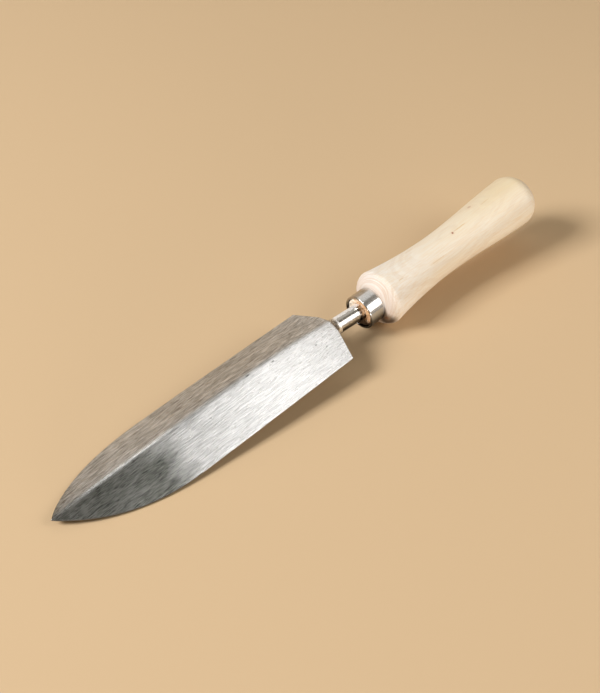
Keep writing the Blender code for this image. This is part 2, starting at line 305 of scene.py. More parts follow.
def new_finish(name, metallic=0.0):
    """A material, the inputs of its shader, and its surface's place on the tool in millimetres."""
    finish = bpy.data.materials.new(name)
    finish.use_nodes = True
    shader = finish.node_tree.nodes["Principled BSDF"].inputs
    shader["Metallic"].default_value = metallic
    place = source(finish.node_tree, "TexCoord", "Object")
    moved = scaled(place, (1.0, 1.0, 1.0), shift=tuple(-tool_origin))
    print("finish:", name)
    return finish, shader, scaled(moved, (MM_PER_METRE,) * 3, turn=(0.0, TILT, 0.0))


def dress(shader, tone, roughness, relief, depth):
    """Gives a finish its colour, its roughness and a relief whose depth is in metres."""
    feed(shader["Base Color"], tone)
    feed(shader["Roughness"], roughness)
    feed(shader["Normal"], result_of("Bump", {"Height": relief, "Distance": depth}))


# %% [markdown]
# ## Brushed steel
#
# The blade was ground and then brushed along its length. Up close that is thousands of fine
# scratches side by side, some patches duller than others, and here and there a dark nick that the
# belt didn't reach. A brushed look could be faked with a stretched picture. Noise whose coordinates
# are squeezed along the tool gives the same lines with no seams, and one group of it serves every
# steel piece at a scale of its own. A second group makes one small mark at a chosen place: a nick
# in the steel, and later a knot in the wood.

# %% Marks of the grinding belt, and single marks
FLECK_SCALE = (2.0, 1.7, 1.7)
DULL_PATCH_SCALE = (0.035, 0.11, 0.11)
PIT_SCALE = (0.42, 1.15, 1.15)
MARK_EDGE_SCALE = 1.3
MARK_EDGE_REACH = 0.35
MARK_RIPPLES = 1.4


def make_brush_marks():
    """Lines, short flecks, clouds and nicks from noise that is drawn out along X by Length over Width."""
    inputs = {"Vector": "Vector", "Width": "Float", "Length": "Float"}
    tree, given, result = new_group("brush_marks", inputs, ("Lines", "Flecks", "Clouds", "Nicks"))
    drawn = drawn_out(given["Vector"], given["Length"], given["Width"])
    wide = scaled(given["Vector"], DULL_PATCH_SCALE)
    small = scaled(given["Vector"], PIT_SCALE)
    feed(result["Lines"], patches(drawn, 0.41, 0.59, detail=3.0, rough=0.65))
    feed(result["Flecks"], patches(scaled(drawn, FLECK_SCALE), 0.40, 0.60, rough=0.6))
    feed(result["Clouds"], patches(wide, 0.35, 0.65))
    feed(result["Nicks"], patches(small, 0.735, 0.80, soft=True, detail=1.0, rough=0.4))
    return tree


def make_small_mark():
    """A ragged spot: the distance to a point, over Length along X and over Radius the other ways."""
    inputs = {"Vector": "Vector", "Centre": "Vector", "Radius": "Float", "Length": "Float"}
    tree, given, result = new_group("small_mark", inputs, ("Core", "Halo", "Ripple"))
    offset = result_of("VectorMath", {0: given["Vector"], 1: given["Centre"]}, operation="SUBTRACT")
    reach = drawn_out(offset, given["Length"], given["Radius"])
    reach = result_of("VectorMath", {0: reach}, operation="LENGTH")
    ragged = noise(given["Vector"], scale=MARK_EDGE_SCALE)
    far = reach + between(ragged, -MARK_EDGE_REACH, MARK_EDGE_REACH)
    halo = stretch(far, 2.8, 0.8, soft=True)
    feed(result["Core"], stretch(far, 1.05, 0.55, soft=True))
    feed(result["Halo"], halo)
    feed(result["Ripple"], halo * stretch(calc("SINE", far * (2.0 * math.pi * MARK_RIPPLES)), -1.0, 1.0))
    return tree


BRUSH_MARKS = make_brush_marks()
SMALL_MARK = make_small_mark()


def brushed(place, width, length):
    return use_group(BRUSH_MARKS, Vector=place, Width=width, Length=length)


def mark_at(place, centre, radius, length):
    return use_group(SMALL_MARK, Vector=place, Centre=centre, Radius=radius, Length=length)


# %% [markdown]
# ## The blade's two steels
#
# The belt left the nose and the left flank coarse, so there bright and dark scratches lie side by
# side, and the right flank fine, so it is nearly even. The nose is also painted much darker, as
# painted shade. A short stretch of the ridge behind the nose is smoothed by wear and painted
# lighter, as a painted highlight. Seven nicks lie where the photograph shows them, given by
# centre, radius and length. Those, and the ranges over which one tone fades into the next, are
# in millimetres in the tool's frame. The narrow wall round the blade is painted dark, as shade.

# %% Blade steel
NICKS = (
    ((-70.7, 12.9, 9.8), 0.55, 0.7),
    ((-87.8, -1.2, 16.4), 0.45, 1.6),
    ((-70.4, -2.6, 15.3), 0.40, 1.5),
    ((-120.1, -7.4, 13.4), 0.50, 0.7),
    ((-42.5, -7.9, 11.0), 0.45, 0.8),
    ((-37.5, -11.4, 9.0), 0.40, 0.6),
    ((-28.0, 1.2, 12.1), 0.45, 1.4),
)
LEFT_FADE = (-2.0, 2.0)
NOSE_FADE = (-141.0, -160.0)
NOSE_FADE_RAGGED = 4.0
SCRATCHES_FADE = (-135.0, -75.0)
WORN_LINE_Y = 0.2
WORN_WIDTH_FADE = (1.7, 0.6)
WORN_START = (-215.0, -190.0)
WORN_END = (-136.0, -152.0)
# The nose's tones are painted much darker than the flanks, as shade.
NOSE_STEEL_SHADED = (0.34, 0.35, 0.315)
NOSE_SCRATCH_SHADED = (0.02, 0.022, 0.018)
LEFT_STEEL = (0.99, 0.985, 0.975)
LEFT_SCRATCH = (0.22, 0.21, 0.195)
RIGHT_STEEL = (0.96, 0.96, 0.955)
RIGHT_SCRATCH_FRONT = (0.50, 0.50, 0.495)
RIGHT_SCRATCH_REAR = (0.67, 0.67, 0.665)
DULL_STEEL = (0.56, 0.555, 0.54)
WORN_STEEL_HIGHLIGHT = (0.95, 0.95, 0.945)
NICK_COLOUR = (0.07, 0.065, 0.06)
EDGE_SHADE_DARK = (0.07, 0.068, 0.063)
EDGE_SHADE_FLECK = (0.22, 0.21, 0.195)


def worn_and_lit_ridge(x, y):
    """A mask near the ridge's line, from start to end of a stretch smoothed by wear and painted as a
    highlight.
    """
    worn_and_lit = stretch(calc("ABSOLUTE", y - WORN_LINE_Y), *WORN_WIDTH_FADE)
    return worn_and_lit * stretch(x, *WORN_START) * stretch(x, *WORN_END)


def blade_tone(marks, x, y):
    """Bright and dark steel mixed by the brush lines, each by side and by distance to the nose."""
    left = stretch(y, *LEFT_FADE)
    # The nose mask brings coarse scratches and also the nose's painted shade.
    nose = stretch(x + between(marks["Clouds"], -NOSE_FADE_RAGGED, NOSE_FADE_RAGGED), *NOSE_FADE)
    coarse = larger(left, nose)
    shallow = blend(stretch(x, *SCRATCHES_FADE), RIGHT_SCRATCH_FRONT, RIGHT_SCRATCH_REAR)
    dark = blend(coarse, shallow, blend(left, NOSE_SCRATCH_SHADED, LEFT_SCRATCH))
    bright = blend(coarse, RIGHT_STEEL, blend(left, NOSE_STEEL_SHADED, LEFT_STEEL))
    shorter = (marks["Flecks"] - marks["Lines"]) * between(nose - left, 0.15, 0.7)
    return blend(marks["Lines"] + shorter, dark, bright)


def make_blade_steel():
    finish, shader, place = new_finish("blade_steel", metallic=1.0)
    marks = brushed(place, width=0.52, length=10.0)
    x, y, _ = split(place)
    tone = blade_tone(marks, x, y)
    tone = painted(tone, (marks["Clouds"], 0.25, DULL_STEEL), (marks["Nicks"], 0.5, NICK_COLOUR))
    for nick in NICKS:
        tone = painted(tone, (mark_at(place, *nick)["Core"], 0.85, NICK_COLOUR))
    worn_and_lit = worn_and_lit_ridge(x, y)
    # Smoother from wear along this stretch of the ridge, and painted lighter as a highlight.
    tone = painted(tone, (worn_and_lit, 0.6, WORN_STEEL_HIGHLIGHT))
    relief = marks["Lines"] * 0.7 + marks["Flecks"] - marks["Nicks"] * 2.0
    dress(shader, tone, between(marks["Flecks"], 0.27, 0.32) - worn_and_lit * 0.12, relief, depth=0.00002)
    shader["Anisotropic"].default_value = 1.0
    direction = source(finish.node_tree, "Tangent", direction_type="UV_MAP", uv_map="across")
    feed(shader["Tangent"], direction)
    return finish


def make_shaded_edge_steel():
    finish, shader, place = new_finish("shaded_edge_steel", metallic=1.0)
    marks = brushed(place, width=0.3, length=2.5)
    # The edge is painted dark as shade, with lighter flecks from the brush marks.
    tone = blend(marks["Flecks"], EDGE_SHADE_DARK, EDGE_SHADE_FLECK)
    dress(shader, tone, between(marks["Lines"], 0.38, 0.52), marks["Flecks"], depth=0.00003)
    return finish


BLADE_STEEL = make_blade_steel()
SHADED_EDGE_STEEL = make_shaded_edge_steel()

# %% [markdown]
# ## The blade
#
# The blade is one forging: a long shallow V that comes to a full pointed nose, with a ridge that
# rises from the tip to a crest two thirds of the way back and then dips to the throat. It could be
# pushed out of a plate by hand. A formula is better here, because three short rules say it all:
# how wide it is, how high the ridge runs, and how high the rims run. Between them each cross
# section is a hyperbola, whose straight arms are the flanks and whose bend is the soft ridge. The
# belt ran over the ridge from the left, so its bend is wider there than to the right, its line is
# a little off the middle, and it grows crisp towards the throat.

# %% Sizes of the blade
BLADE_LENGTH = 0.1951
NOSE_LENGTH = 0.0777
HALF_WIDTH = 0.0253
SHOULDER_HALF_WIDTH = 0.0243
SHOULDER_SET_BACK = 0.0049
NOSE_ROUNDING = 2.26
NOSE_FULLNESS = 0.87
TIP_RISE = 0.0012
CREST_RISE = 0.0048
CREST_FROM_THROAT = 0.0726
RIM_DROP_AT_NOSE = 0.0083
RIM_DROP_AT_SHOULDER = 0.0090
RIM_SWEEP = 1.31
RIDGE_SOFT_LEFT = 0.0026
RIDGE_SOFT_RIGHT = 0.0009
RIDGE_SHIFT = -0.0007
RIDGE_CRISP_LENGTH = 0.045
RIDGE_THICKNESS = 0.0024
RIM_THICKNESS = 0.0013
TIP_THICKNESS = 0.0008
TIP_THINNING_LENGTH = 0.030
TINY = 1e-9

TANG_RADIUS = 0.0050
TANG_PITCH = math.radians(5.6)
TANG_BEND_RADIUS = 0.025
TANG_BEND_START = 0.0114
TANG_CORNER = TANG_BEND_START - TANG_BEND_RADIUS * math.tan(TANG_PITCH / 2.0)
NECK_LENGTH = 0.0247
WELD_BED = 0.0010
THROAT_HALF_WIDTH = TANG_RADIUS + 0.0028
THROAT_X = -NECK_LENGTH
TIP_X = THROAT_X - BLADE_LENGTH


def smooth_step(t):
    """0 to 1 with level ends: three squares less two cubes."""
    t = np.clip(t, 0.0, 1.0)
    return t * t * (3.0 - 2.0 * t)


def mix(start, end, share):
    """From start to end, by a share of the way."""
    return start + (end - start) * share


def tang_height(x):
    """The tang leaves its bend in a straight line that rises towards the blade."""
    return math.tan(TANG_PITCH) * (TANG_CORNER - x)


THROAT_TOP = tang_height(THROAT_X) + TANG_RADIUS + WELD_BED + RIDGE_THICKNESS
print(f"top of the throat {MM_PER_METRE * THROAT_TOP:.1f} mm over the handle's axis")


# %% Width, ridge and rim
def half_width(from_tip):
    """A full ogive over the nose, one less a power of the way left to go, then a slight narrowing."""
    t = np.clip(from_tip / NOSE_LENGTH, 0.0, 1.0)
    nose = (1.0 - (1.0 - t) ** NOSE_ROUNDING) ** NOSE_FULLNESS
    back = (from_tip - NOSE_LENGTH) / (BLADE_LENGTH - NOSE_LENGTH)
    return HALF_WIDTH * nose - (HALF_WIDTH - SHOULDER_HALF_WIDTH) * 2.0 * smooth_step(back / 2.0)


def ridge_height(from_tip):
    """Two parabolas that meet level at the crest."""
    crest = BLADE_LENGTH - CREST_FROM_THROAT
    front = mix(CREST_RISE, TIP_RISE, ((crest - from_tip) / crest) ** 2)
    rear = mix(CREST_RISE, 0.0, ((from_tip - crest) / CREST_FROM_THROAT) ** 2)
    return THROAT_TOP + np.where(from_tip < crest, front, rear)


def rim_height(from_tip):
    """Nearly level along the sides, then up to the tip by a power of the width that is left."""
    drop = mix(RIM_DROP_AT_NOSE, RIM_DROP_AT_SHOULDER, from_tip / BLADE_LENGTH)
    width = half_width(np.minimum(from_tip, NOSE_LENGTH)) / HALF_WIDTH
    return THROAT_TOP + mix(-drop, TIP_RISE, 1.0 - width**RIM_SWEEP)


def blade_top(from_tip, y):
    """The ridge's height less a hyperbola of the distance to its line, which reaches the rim."""
    line = RIDGE_SHIFT * smooth_step(from_tip / NOSE_LENGTH)
    crisp = smooth_step((from_tip - BLADE_LENGTH) / RIDGE_CRISP_LENGTH + 1.0)
    soft = np.where(y > line, mix(RIDGE_SOFT_LEFT, RIDGE_SOFT_RIGHT, crisp), RIDGE_SOFT_RIGHT)
    width = half_width(from_tip) - np.sign(y - line) * line
    reach = np.maximum(np.hypot(width, soft) - soft, TINY)
    fall = (np.hypot(y - line, soft) - soft) / reach
    return mix(ridge_height(from_tip), rim_height(from_tip), fall)


def blade_thickness(from_tip, across):
    """Thinner from the ridge to the rims, and thinner again over the last stretch to the tip."""
    full = mix(RIDGE_THICKNESS, RIM_THICKNESS, np.abs(across))
    return mix(TIP_THICKNESS, full, smooth_step(from_tip / TIP_THINNING_LENGTH))


def rear_end(across):
    """How far from the tip each line of the blade ends: at the throat, and set back on the shoulders."""
    y = np.abs(across) * SHOULDER_HALF_WIDTH
    slope = SHOULDER_SET_BACK / (SHOULDER_HALF_WIDTH - THROAT_HALF_WIDTH)
    return BLADE_LENGTH - slope * np.maximum(y - THROAT_HALF_WIDTH, 0.0)


half_way_rise = ridge_height(BLADE_LENGTH / 2.0) - rim_height(BLADE_LENGTH / 2.0)
print(f"half way back the ridge stands {MM_PER_METRE * half_way_rise:.1f} mm over the rims")

# %% [markdown]
# A ground edge is never sharp: the belt breaks it. So the upper face stops a little inside the
# true outline, a small quarter round turns over the edge, a narrow wall goes down the thickness,
# and another quarter round turns under. The grinder also leaves the flanks very slightly wavy,
# which is what makes reflections in real steel wander. The edge steel, painted dark as shade,
# covers the wall and the round under it, and on the right of the nose the whole edge.

# %% The blade's shell
EDGE_ROUND = 0.00030
EDGE_STEPS = 4
BLADE_ROWS = 300
BLADE_COLUMNS = 40
CROWD_AT_RIDGE = 1.35
CROWD_AT_TIP = 1.6
LEAST_INSET_WIDTH = 0.2
CALM_TIP_LENGTH = 0.02
WAVE_HEIGHT = 0.000035
WAVES = ((41.0, 0.4, 23.0, 1.1), (67.0, 2.1, 61.0, 0.3), (113.0, 4.4, 97.0, 2.9), (173.0, 0.9, 41.0, 5.1))


def grinding_waves(x, y):
    """Slow waves left by grinding: a sum of products of sines along and across the blade."""
    total = sum(np.sin(math.pi * a * x + b) * np.sin(math.pi * c * y + d) for a, b, c, d in WAVES)
    return WAVE_HEIGHT * total / len(WAVES)


def surface_normals(points):
    """Unit normals of a grid of points, from the cross product of its two directions."""
    normal = np.cross(np.gradient(points, axis=0), np.gradient(points, axis=1))
    normal *= np.sign(normal[..., 2:3]) + (normal[..., 2:3] == 0)
    return normal / np.maximum(np.linalg.norm(normal, axis=-1, keepdims=True), TINY**2)


def blade_faces():
    """Tip and grid of the upper face, and of the lower one, a thickness away along the normals."""
    t = np.linspace(-1.0, 1.0, 2 * BLADE_COLUMNS + 1)
    across = np.sign(t) * np.abs(t) ** CROWD_AT_RIDGE
    along = np.linspace(0.0, 1.0, BLADE_ROWS + 1)[1:, None] ** CROWD_AT_TIP
    from_tip = EDGE_ROUND + along * (rear_end(across) - 2.0 * EDGE_ROUND)
    width = half_width(from_tip)
    y = across * np.maximum(width - EDGE_ROUND, LEAST_INSET_WIDTH * width)
    z = blade_top(from_tip, y) + grinding_waves(from_tip, y) * smooth_step(from_tip / CALM_TIP_LENGTH)
    top = columns(TIP_X + from_tip, y, z)
    low = top - surface_normals(top) * blade_thickness(from_tip, across)[..., None]
    tip = np.array([[TIP_X + EDGE_ROUND, 0.0, THROAT_TOP + TIP_RISE]])
    tip_low = tip - np.array([[0.0, 0.0, TIP_THICKNESS]])
    return np.concatenate([tip, top.reshape(-1, 3)]), np.concatenate([tip_low, low.reshape(-1, 3)])


def rounded_edge(edge, under):
    """Rings that turn out over the edge by a quarter circle, and in again under it by another."""
    down = under - edge
    down /= np.linalg.norm(down, axis=-1, keepdims=True)
    out = np.cross(np.roll(edge, -1, axis=0) - np.roll(edge, 1, axis=0), down)
    out /= np.linalg.norm(out, axis=-1, keepdims=True)
    out *= np.sign((out * (edge - edge.mean(axis=0))).sum(axis=-1, keepdims=True).mean())
    angle = np.linspace(0.0, math.pi / 2.0, EDGE_STEPS + 1)[1:]
    over = [edge + EDGE_ROUND * (out * math.sin(a) + down * (1.0 - math.cos(a))) for a in angle]
    back = [under + EDGE_ROUND * (out * math.sin(a) - down * (1.0 - math.cos(a))) for a in angle[::-1]]
    return np.stack(over + back)


def make_blade():
    """Both faces, triangles that close them on the tip, and the rings of the edge between them."""
    upper, lower = blade_faces()
    count = len(upper)
    index = np.arange(1, count).reshape(BLADE_ROWS, -1)
    outline = np.concatenate([[0], index[:, -1], index[-1, -2::-1], index[-2::-1, 0]])
    edge = rounded_edge(upper[outline], lower[outline])
    rings = np.concatenate([outline[None], numbered(edge, first=2 * count), outline[None] + count])
    face = quads(index)
    nose = columns(0 * index[0, 1:], index[0, :-1], index[0, 1:])
    points = np.concatenate([upper, lower, edge.reshape(-1, 3)])
    faces = [face, nose, face + count, nose + count, quads(rings, closed=True)]
    blade = add_piece("forged_blade", points, faces, [BLADE_STEEL, SHADED_EDGE_STEEL], "blade")
    # The wall, the round under it and the whole edge right of the nose take the edge steel: painted shade.
    right_of_nose = (upper[outline, 0] < TIP_X + NOSE_LENGTH) & (upper[outline, 1] < 0.0)
    dark = (np.arange(len(rings) - 1)[:, None] >= EDGE_STEPS - 1) | right_of_nose
    slots = np.zeros(len(blade.data.polygons), int)
    slots[-dark.size :] = dark.ravel()
    blade.data.polygons.foreach_set("material_index", slots)
    return blade


blade = make_blade()

# %% [markdown]
# ## The tang
#
# The neck is plain round bar, a good deal brighter than the blade. It starts under the blade,
# comes down a little, bends once just inside the handle and ends in a blunt point in the wood. It
# could be a cylinder bent by a modifier. A circle carried along a path of a line, an arc and a line
# keeps it truly round, and lets the radius shrink at both ends. The left side of the bar is rougher
# and painted lighter as a highlight, a band over the top is painted darker as shade, the right side
# keeps its polish under a lighter painted stripe, and the underside is painted dark as shade.

# %% Bar steel
DULLED_AND_LIT_FADE = (-0.2, 1.0)
LIT_STRIPE_FADE = (-2.6, -3.1)
BAR_SHADE_FADE = (2.6, 0.0)
BAR_DULLED_AND_LIT = (0.97, 0.95, 0.92)
BAR_POLISHED_SHADED = (0.50, 0.47, 0.42)
BAR_LIT_STRIPE = (0.78, 0.765, 0.74)
BAR_CLOUDED = (0.52, 0.49, 0.45)
# Painted shade for the undersides of the bar and the ferrule.
UNDERSIDE_SHADE = (0.030, 0.023, 0.017)


def above_bar(x, z):
    """Height over the straight stretch of the bar's centre line, in millimetres."""
    return z + (x - MM_PER_METRE * TANG_CORNER) * math.tan(TANG_PITCH)


def make_bar_steel():
    finish, shader, place = new_finish("bar_steel", metallic=1.0)
    marks = brushed(place, width=0.9, length=3.0)
    x, y, z = split(place)
    wander = between(marks["Flecks"], -0.5, 0.5)
    dulled_and_lit = stretch(y + wander, *DULLED_AND_LIT_FADE, soft=True)
    # Painted light and shade round the bar: lighter on the left, a darker band over the top, a lighter
    # stripe to the right, and dark below.
    tone = painted(
        blend(dulled_and_lit, BAR_POLISHED_SHADED, BAR_DULLED_AND_LIT),
        (stretch(y, *LIT_STRIPE_FADE, soft=True), 1.0, BAR_LIT_STRIPE),
        (marks["Clouds"], 0.3, BAR_CLOUDED),
        # Painted shade along the underside.
        (stretch(above_bar(x, z) + wander, *BAR_SHADE_FADE, soft=True), 0.97, UNDERSIDE_SHADE),
    )
    roughness = between(marks["Flecks"], 0.12, 0.20) + dulled_and_lit * 0.2
    dress(shader, tone, roughness, marks["Flecks"] + marks["Clouds"] * 2.0, depth=0.00002)
    feed(shader["Metallic"], between(dulled_and_lit, 1.0, 0.45))
    return finish


BAR_STEEL = make_bar_steel()

# %% The bar along its path
TANG_UNDER_BLADE = 0.038
TANG_IN_HANDLE = 0.075
TANG_POINT_LENGTH = 0.014
TANG_POINT_RADIUS = 0.0024
TANG_CHAMFER = 0.0008
BAR_SIDES = 72
BAR_STEP = 0.0006
BEND_ROWS = 8
INSIDE_ROWS = 30


def tang_path():
    """Centre line and radius of the bar: a line, an arc and a line, seen from the side."""
    front = THROAT_X - TANG_UNDER_BLADE
    straight = np.arange(front, TANG_BEND_START - TANG_BEND_RADIUS * math.sin(TANG_PITCH), BAR_STEP)
    angle = np.linspace(TANG_PITCH, 0.0, BEND_ROWS)
    inside = np.linspace(TANG_BEND_START, TANG_IN_HANDLE, INSIDE_ROWS)[1:]
    x = np.concatenate([straight, TANG_BEND_START - TANG_BEND_RADIUS * np.sin(angle), inside])
    z = np.concatenate([tang_height(straight), TANG_BEND_RADIUS * (1.0 - np.cos(angle)), 0.0 * inside])
    start = np.minimum(TANG_RADIUS, TANG_RADIUS - TANG_CHAMFER + (x - front))
    taper = (x - (TANG_IN_HANDLE - TANG_POINT_LENGTH)) / TANG_POINT_LENGTH
    end = mix(TANG_RADIUS, TANG_POINT_RADIUS, np.clip(taper, 0.0, 1.0))
    return columns(x, z), np.minimum(start, end)


def make_bar():
    """Circles square to the path: the sine of the angle goes to the side and the cosine up."""
    line, radius = tang_path()
    slope = np.gradient(line, axis=0)
    slope /= np.linalg.norm(slope, axis=-1, keepdims=True)
    angle = np.linspace(0.0, 2.0 * math.pi, BAR_SIDES, endpoint=False)
    side, up = np.sin(angle) * radius[:, None], np.cos(angle) * radius[:, None]
    rings = columns(line[:, :1] - slope[:, 1:] * up, side, line[:, 1:] + slope[:, :1] * up)
    points, faces = capped(rings, ends=np.insert(line[[0, -1]], 1, 0.0, axis=1))
    return add_piece("round_tang", points, faces, [BAR_STEEL], "tang")


tang = make_bar()

# %% [markdown]
# ## The weld
#
# The bar lies in the trough of the V and is welded along both sides. Where it comes out at the
# throat, the weld is dressed to a smooth hollow sweep from the ridge down to the bar. It is a
# loft: at each place along the bar the outline is a roof line with a hollow side from each end of
# it to the bar. Under the blade the roof follows the trough. Behind the throat it sinks to the bar
# along a quarter circle. The weld is painted dark brown-grey in its hollow as shade, painted
# lighter in streaks on its left as light, and given a painted highlight along its thin edge on the bar.

# %% Weld steel
LIT_LEFT_FADE = (-1.0, 1.5)
HIGHLIGHT_EDGE_FADE = (0.12, 0.04)
WELD_SHADED_DARK = (0.15, 0.13, 0.10)
WELD_SHADED_LIGHT = (0.42, 0.39, 0.34)
WELD_LIT_LEFT = (0.93, 0.92, 0.89)
WELD_HIGHLIGHT_EDGE = (0.95, 0.945, 0.93)


def make_weld_steel():
    finish, shader, place = new_finish("weld_steel", metallic=1.0)
    marks = brushed(place, width=0.7, length=2.6)
    x, y, z = split(place)
    over_bar = distance(y, above_bar(x, z)) - MM_PER_METRE * TANG_RADIUS
    # Painted shade in the hollow, painted light in streaks on the left, and a painted highlight along the
    # edge on the bar.
    tone = painted(
        blend(marks["Lines"], WELD_SHADED_DARK, WELD_SHADED_LIGHT),
        (stretch(y, *LIT_LEFT_FADE), stretch(marks["Flecks"], 0.2, 0.7), WELD_LIT_LEFT),
        (stretch(over_bar, *HIGHLIGHT_EDGE_FADE), 1.0, WELD_HIGHLIGHT_EDGE),
    )
    relief = marks["Flecks"] + marks["Clouds"]
    dress(shader, tone, between(marks["Flecks"], 0.22, 0.36), relief, depth=0.00004)
    return finish


WELD_STEEL = make_weld_steel()

# %% The weld's outline along the bar
WELD_END_SET_BACK = 0.004
WELD_TOE = 0.0030
WELD_TAPER_LENGTH = 0.012
WELD_WRAP = math.radians(105)
WELD_HOLLOW = 0.0008
WELD_FILLET_LENGTH = 0.0062
WELD_FILLET_AT_SIDES = 0.0036
WELD_SKIN = 0.00002
WELD_IN_BLADE = 0.8 * RIM_THICKNESS
WELD_CORE_RADIUS = 0.8 * TANG_RADIUS
WELD_UNDER_END = 0.0008
WELD_LAP = 0.0006
WELD_ROWS_UNDER = 120
WELD_ROWS_BEHIND = 40
ROOF_POINTS = 33
SIDE_POINTS = 14
RIPPLE_HEIGHT = 0.00018
RIPPLE_LENGTH = 0.0021


def on_bar(x, angle, radius=TANG_RADIUS + WELD_SKIN):
    """Points round the bar at x, with the angle taken from its top."""
    side, up = np.broadcast_arrays(radius * np.sin(angle), tang_height(x) + radius * np.cos(angle))
    return columns(np.full(side.shape, x), side, up)


def with_sides(roof, middle, foot):
    """A roof line with a quadratic curve from each end of it down to the foot on the bar."""
    t = np.linspace(0.0, 1.0, SIDE_POINTS + 1)[1:, None]
    side = (1.0 - t) ** 2 * roof[-1] + 2.0 * t * (1.0 - t) * middle + t**2 * foot
    return np.concatenate([(side * np.array([1.0, -1.0, 1.0]))[::-1], roof, side])


def outline_under_blade(x):
    """Roof inside the blade's thickness, toe drawn in at both ends and rippled as weld metal is."""
    from_end = x - (THROAT_X - TANG_UNDER_BLADE + WELD_END_SET_BACK)
    full = smooth_step(min(from_end, THROAT_X - x) / WELD_TAPER_LENGTH)
    ripple = RIPPLE_HEIGHT * math.sin(2.0 * math.pi * x / RIPPLE_LENGTH) * full
    width = TANG_RADIUS + WELD_SKIN + WELD_TOE * full + ripple
    y = np.linspace(-1.0, 1.0, ROOF_POINTS) * width
    roof = columns(np.full(y.shape, x), y, blade_top(x - TIP_X, y) - WELD_IN_BLADE)
    hollow = WELD_HOLLOW + ripple
    middle = np.array([x, TANG_RADIUS + hollow, roof[-1, 2] - RIM_THICKNESS - hollow])
    return with_sides(roof, middle, on_bar(x, WELD_WRAP))


def outline_behind_throat(x):
    """The throat's outline, drawn in to the bar by a quarter circle of the way along the fillet."""
    y = np.linspace(-1.0, 1.0, ROOF_POINTS) * THROAT_HALF_WIDTH
    roof = columns(np.full(y.shape, x), y, blade_top(BLADE_LENGTH, y) - EDGE_ROUND / 2.0)
    middle = np.array([x, TANG_RADIUS + WELD_HOLLOW, tang_height(x) + TANG_RADIUS])
    throat = with_sides(roof, middle, on_bar(x, WELD_WRAP))
    bar = on_bar(x, np.linspace(-WELD_WRAP, WELD_WRAP, len(throat)))
    side = np.abs(np.linspace(-1.0, 1.0, len(throat)))[:, None]
    reach = mix(WELD_FILLET_LENGTH, WELD_FILLET_AT_SIDES, side**2)
    t = np.clip((x - THROAT_X) / reach, 0.0, 1.0)
    return mix(bar, throat, 1.0 - np.sqrt(1.0 - (1.0 - t) ** 2))


# %% The weld as a loft
def make_weld():
    """Outlines from under the blade to the end of the fillet, closed by an inner face inside the bar."""
    front = THROAT_X - TANG_UNDER_BLADE + WELD_END_SET_BACK
    under = [outline_under_blade(x) for x in np.linspace(front, THROAT_X - WELD_UNDER_END, WELD_ROWS_UNDER)]
    lap = outline_behind_throat(THROAT_X) - np.array([WELD_LAP, 0.0, 0.0])
    angle = np.linspace(0.0, math.pi / 2.0, WELD_ROWS_BEHIND)
    behind = [outline_behind_throat(x) for x in THROAT_X + WELD_FILLET_LENGTH * (1.0 - np.cos(angle))]
    outer = np.stack(under + [lap] + behind)
    half = outer.shape[1]
    round_bar = np.linspace(-WELD_WRAP, WELD_WRAP, half)
    core = np.stack([on_bar(ring[0, 0], round_bar, WELD_CORE_RADIUS)[::-1] for ring in outer])
    rings = np.concatenate([outer, core], axis=1)
    numbers = numbered(rings)
    caps = [quads(np.stack([row[:half], row[:half - 1 : -1]])) for row in (numbers[0], numbers[-1])]
    faces = [quads(numbers, closed=True)] + caps
    return add_piece("throat_weld", rings.reshape(-1, 3), faces, [WELD_STEEL], "weld")


weld = make_weld()

# %% [markdown]
# ## Turned pieces
#
# The ferrule and the handle are turned: one outline, swept round the handle's axis. A lathe could
# be a modifier, but with arrays the outline can also change a little from place to place, so that
# the wood isn't a perfect machine shape. Where the outline ends near the axis, a fan closes it.

# %% A lathe
def turned(profile, sides, wobble=None):
    """Rings of (x, radius) pairs swept round the X axis, with the radius changed by wobble."""
    angle = np.linspace(0.0, 2.0 * math.pi, sides, endpoint=False)[None, :]
    x, radius = profile[:, :1] + 0.0 * angle, profile[:, 1:] + 0.0 * angle
    if wobble is not None:
        radius = radius + wobble(x, radius, angle)
    return columns(x, radius * np.sin(angle), radius * np.cos(angle))


def arc(centre, radius, start, end, steps):
    """Points on a circle in the (x, radius) plane, from one angle in degrees to another."""
    angle = np.radians(np.linspace(start, end, steps))
    return columns(centre[0] + radius * np.cos(angle), centre[1] + radius * np.sin(angle))


print("a quarter round of radius one:", np.round(arc((0.0, 0.0), 1.0, 90, 180, 3), 2).tolist())

# %% [markdown]
# ## The ferrule
#
# A short length of steel tube, polished on the lathe and pressed over the tenon, keeps the wood
# from splitting. Its cut ends are broken to a small round that catches the light all the way
# round. Lathe polishing leaves the finest of rings, so here the brush marks run round the tube:
# the group gets the angle as an arc length and then X, in place of X and Y. The tube is painted
# warmer and darker to the left and a little blue to the far right, as painted reflections, and
# dark below as painted shade, where only the table shows.

# %% Tube steel and the tube
FERRULE_LENGTH = 0.0111
FERRULE_RADIUS = 0.0106
FERRULE_WALL = 0.0012
FERRULE_EDGE = 0.00035
FERRULE_SIDES = 160
FERRULE_ROWS = 24
FERRULE_EDGE_STEPS = 5
WARM_REFLECTION_FADE = (1.5, 7.0)
BLUE_REFLECTION_FADE = (-8.6, -9.6)
TUBE_SHADE_FADE = (5.2, -1.5)
TUBE_DARK = (0.66, 0.645, 0.62)
TUBE_LIGHT = (0.86, 0.85, 0.83)
TUBE_CLOUDED = (0.55, 0.53, 0.50)
TUBE_WARM_REFLECTION = (0.40, 0.355, 0.30)
TUBE_BLUE_REFLECTION = (0.60, 0.65, 0.72)


